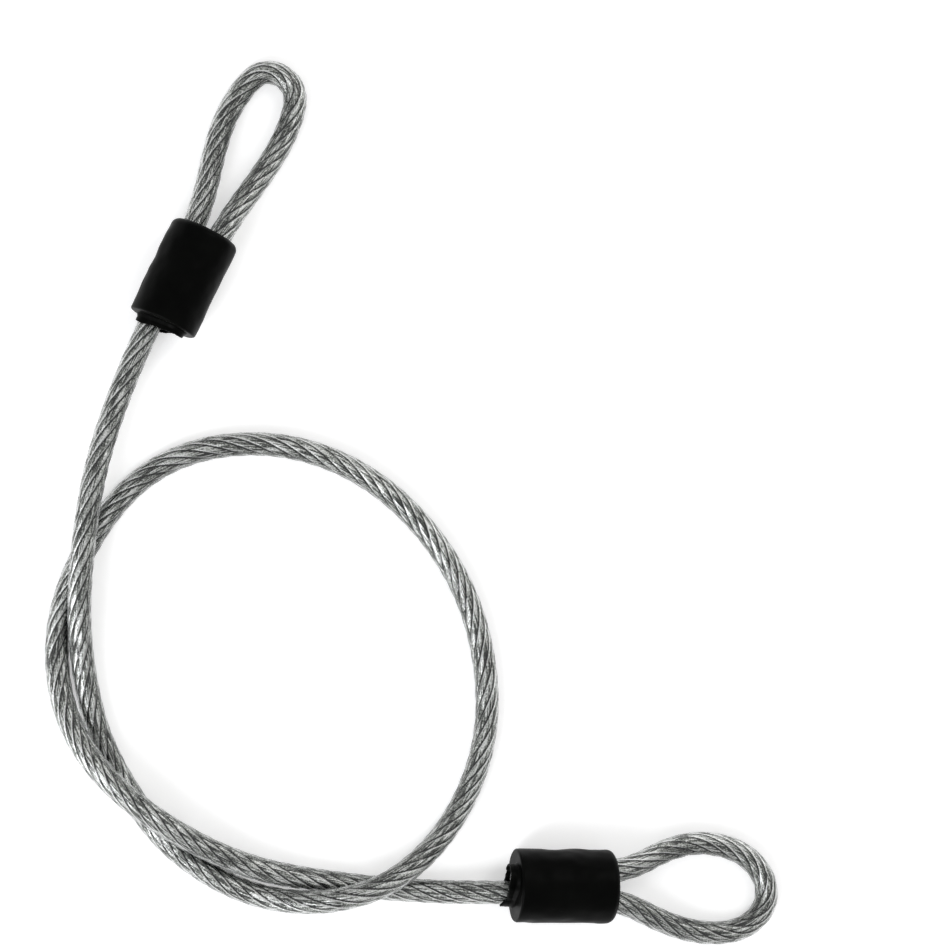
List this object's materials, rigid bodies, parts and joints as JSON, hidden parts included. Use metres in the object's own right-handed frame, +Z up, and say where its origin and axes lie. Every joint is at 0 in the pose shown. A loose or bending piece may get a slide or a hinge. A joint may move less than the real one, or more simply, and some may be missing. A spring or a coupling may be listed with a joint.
{
  "type": "cable lock",
  "caption": "Double-loop steel security cable for bicycles in a clear jacket, with a crimped, black-sleeved eye at each end, lying in one loose overhand knot.",
  "frame": {"origin": "on the ground below the middle of the whole cable's box, as it lies", "axes": "+Z up; +Y from the knot towards the upper eye; +X from the knot towards the lower eye"},
  "size_m": [0.3141, 0.374, 0.0315],
  "materials": {
    "galvanised_wire": "bright galvanised steel wire, laid in strands",
    "clear_jacket": "thin clear flexible plastic, glossy",
    "pressed_aluminium": "pressed, matt",
    "black_sleeve": "black shrunk plastic, softly glossy"
  },
  "bodies": {
    "root": {"main_rope": "galvanised_wire", "upper_eye_rope": "galvanised_wire", "lower_eye_rope": "galvanised_wire", "main_jacket": "clear_jacket", "upper_eye_jacket": "clear_jacket", "lower_eye_jacket": "clear_jacket", "upper_ferrule": "pressed_aluminium", "lower_ferrule": "pressed_aluminium", "upper_sleeve": "black_sleeve", "lower_sleeve": "black_sleeve"}
  },
  "joints": []
}
